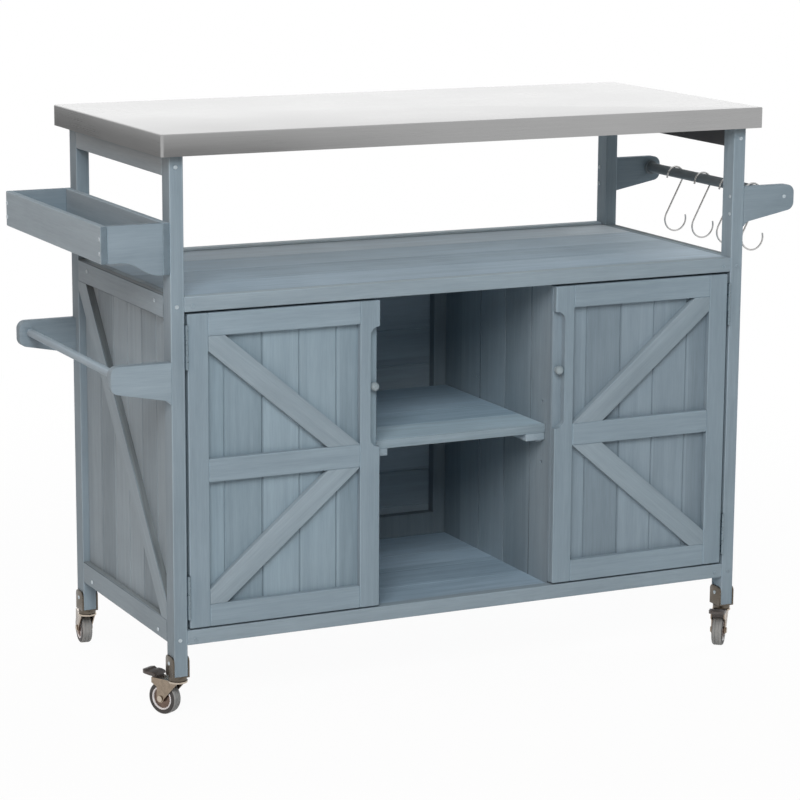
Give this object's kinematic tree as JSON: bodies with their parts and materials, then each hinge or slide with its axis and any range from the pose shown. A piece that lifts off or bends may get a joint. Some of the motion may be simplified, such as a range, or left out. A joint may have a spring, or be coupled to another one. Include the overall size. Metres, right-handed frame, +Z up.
{
  "type": "grill cart",
  "caption": "Rolling wooden grill cart with a steel working top, open counter, braced double doors, middle shelf bay, spice rack, towel bar, tool bar with hooks and swivel casters.",
  "frame": {"origin": "on the floor at the middle of the cart's bounding box", "axes": "+X to the right, towards the tool bar; the doors face -Y; +Z up"},
  "size_m": [1.2702, 0.5442, 0.947],
  "materials": {
    "grey_washed_wood": "matte grey-blue wash with faint grain",
    "brushed_steel_skin": "satin",
    "core_board": "raw board",
    "zinc_hardware": "satin zinc",
    "polished_hook_wire": "polished",
    "caster_steel": "satin, warm zinc",
    "caster_hub_plastic": "matte",
    "caster_rubber": "matte",
    "pedal_plastic": "satin"
  },
  "bodies": {
    "cart_frame": {"posts": "grey_washed_wood", "top_side_rails": "grey_washed_wood", "steel_top": "brushed_steel_skin", "top_core": "core_board", "counter_boards": "grey_washed_wood", "counter_rails": "grey_washed_wood", "base_rails": "grey_washed_wood", "side_boards_left": "grey_washed_wood", "side_boards_right": "grey_washed_wood", "side_frame_left": "grey_washed_wood", "side_frame_right": "grey_washed_wood", "floor_boards": "grey_washed_wood", "floor_bearers": "grey_washed_wood", "back_boards": "grey_washed_wood", "back_cleats": "grey_washed_wood", "divider_left": "grey_washed_wood", "divider_right": "grey_washed_wood", "shelf_pins": "zinc_hardware", "shelf_boards": "grey_washed_wood", "shelf_battens": "grey_washed_wood", "hinge_post_leaves": "zinc_hardware", "hinge_pins": "zinc_hardware", "spice_rack_boards": "grey_washed_wood", "spice_rack_ends": "grey_washed_wood", "spice_rack_bottom": "grey_washed_wood", "bar_brackets": "grey_washed_wood", "towel_bar": "grey_washed_wood", "tool_bar": "grey_washed_wood", "tool_bar_collars": "grey_washed_wood", "caster_seats": "caster_steel", "caster_races": "caster_steel", "screws": "zinc_hardware"},
    "door_left": {"door_boards_left": "grey_washed_wood", "door_frame_left": "grey_washed_wood", "door_braces_left": "grey_washed_wood", "door_knob_left": "zinc_hardware", "hinge_leaves_left": "zinc_hardware"},
    "door_right": {"door_boards_right": "grey_washed_wood", "door_frame_right": "grey_washed_wood", "door_braces_right": "grey_washed_wood", "door_knob_right": "zinc_hardware", "hinge_leaves_right": "zinc_hardware"},
    "caster_fl": {"caster_fork_fl": "caster_steel"},
    "wheel_fl": {"caster_hub_fl": "caster_hub_plastic", "caster_tyre_fl": "caster_rubber"},
    "caster_fr": {"caster_fork_fr": "caster_steel"},
    "wheel_fr": {"caster_hub_fr": "caster_hub_plastic", "caster_tyre_fr": "caster_rubber"},
    "caster_bl": {"caster_fork_bl": "caster_steel"},
    "wheel_bl": {"caster_hub_bl": "caster_hub_plastic", "caster_tyre_bl": "caster_rubber"},
    "caster_br": {"caster_fork_br": "caster_steel"},
    "wheel_br": {"caster_hub_br": "caster_hub_plastic", "caster_tyre_br": "caster_rubber"},
    "pedal_fl": {"caster_pedal_fl": "pedal_plastic"},
    "pedal_fr": {"caster_pedal_fr": "pedal_plastic"},
    "hook_1": {"hook_1": "polished_hook_wire"},
    "hook_2": {"hook_2": "polished_hook_wire"},
    "hook_3": {"hook_3": "polished_hook_wire"},
    "hook_4": {"hook_4": "polished_hook_wire"}
  },
  "joints": [
    {"name": "door_left_hinge", "type": "hinge", "parent": "cart_frame", "child": "door_left", "pos_m": [-0.49428, -0.23514, 0.404], "axis": [0, 0, -1], "range_deg": [0, 170]},
    {"name": "door_right_hinge", "type": "hinge", "parent": "cart_frame", "child": "door_right", "pos_m": [0.50672, -0.23514, 0.404], "axis": [0, 0, 1], "range_deg": [0, 170]},
    {"name": "caster_fl_swivel", "type": "hinge", "parent": "cart_frame", "child": "caster_fl", "pos_m": [-0.50828, -0.21624, 0.0605], "axis": [0, 0, 1], "continuous": true},
    {"name": "caster_fl_roll", "type": "hinge", "parent": "caster_fl", "child": "wheel_fl", "pos_m": [-0.52177, -0.19285, 0.027], "axis": [-0.866, -0.5, 0], "continuous": true},
    {"name": "caster_fl_brake", "type": "hinge", "parent": "caster_fl", "child": "pedal_fl", "pos_m": [-0.52828, -0.1816, 0.0565], "axis": [-0.866, -0.5, 0], "range_deg": [0, 12]},
    {"name": "caster_fr_swivel", "type": "hinge", "parent": "cart_frame", "child": "caster_fr", "pos_m": [0.52072, -0.21624, 0.0605], "axis": [0, 0, 1], "continuous": true},
    {"name": "caster_fr_roll", "type": "hinge", "parent": "caster_fr", "child": "wheel_fr", "pos_m": [0.50337, -0.23692, 0.027], "axis": [0.766, -0.6428, 0], "continuous": true},
    {"name": "caster_fr_brake", "type": "hinge", "parent": "caster_fr", "child": "pedal_fr", "pos_m": [0.49501, -0.24688, 0.0565], "axis": [0.766, -0.6428, 0], "range_deg": [0, 12]},
    {"name": "caster_bl_swivel", "type": "hinge", "parent": "cart_frame", "child": "caster_bl", "pos_m": [-0.50828, 0.21776, 0.0605], "axis": [0, 0, 1], "continuous": true},
    {"name": "caster_bl_roll", "type": "hinge", "parent": "caster_bl", "child": "wheel_bl", "pos_m": [-0.50545, 0.24462, 0.027], "axis": [-0.9945, 0.1045, 0], "continuous": true},
    {"name": "caster_br_swivel", "type": "hinge", "parent": "cart_frame", "child": "caster_br", "pos_m": [0.52072, 0.21776, 0.0605], "axis": [0, 0, 1], "continuous": true},
    {"name": "caster_br_roll", "type": "hinge", "parent": "caster_br", "child": "wheel_br", "pos_m": [0.53422, 0.24115, 0.027], "axis": [-0.866, 0.5, 0], "continuous": true},
    {"name": "hook_1_swing", "type": "hinge", "parent": "cart_frame", "child": "hook_1", "pos_m": [0.61323, -0.13874, 0.789], "axis": [0, 1, 0], "range_deg": [-40, 40]},
    {"name": "hook_2_swing", "type": "hinge", "parent": "cart_frame", "child": "hook_2", "pos_m": [0.61323, -0.05774, 0.789], "axis": [0, 1, 0], "range_deg": [-40, 40]},
    {"name": "hook_3_swing", "type": "hinge", "parent": "cart_frame", "child": "hook_3", "pos_m": [0.61323, 0.02626, 0.789], "axis": [0, 1, 0], "range_deg": [-40, 40]},
    {"name": "hook_4_swing", "type": "hinge", "parent": "cart_frame", "child": "hook_4", "pos_m": [0.61323, 0.12126, 0.789], "axis": [0, 1, 0], "range_deg": [-40, 40]}
  ]
}
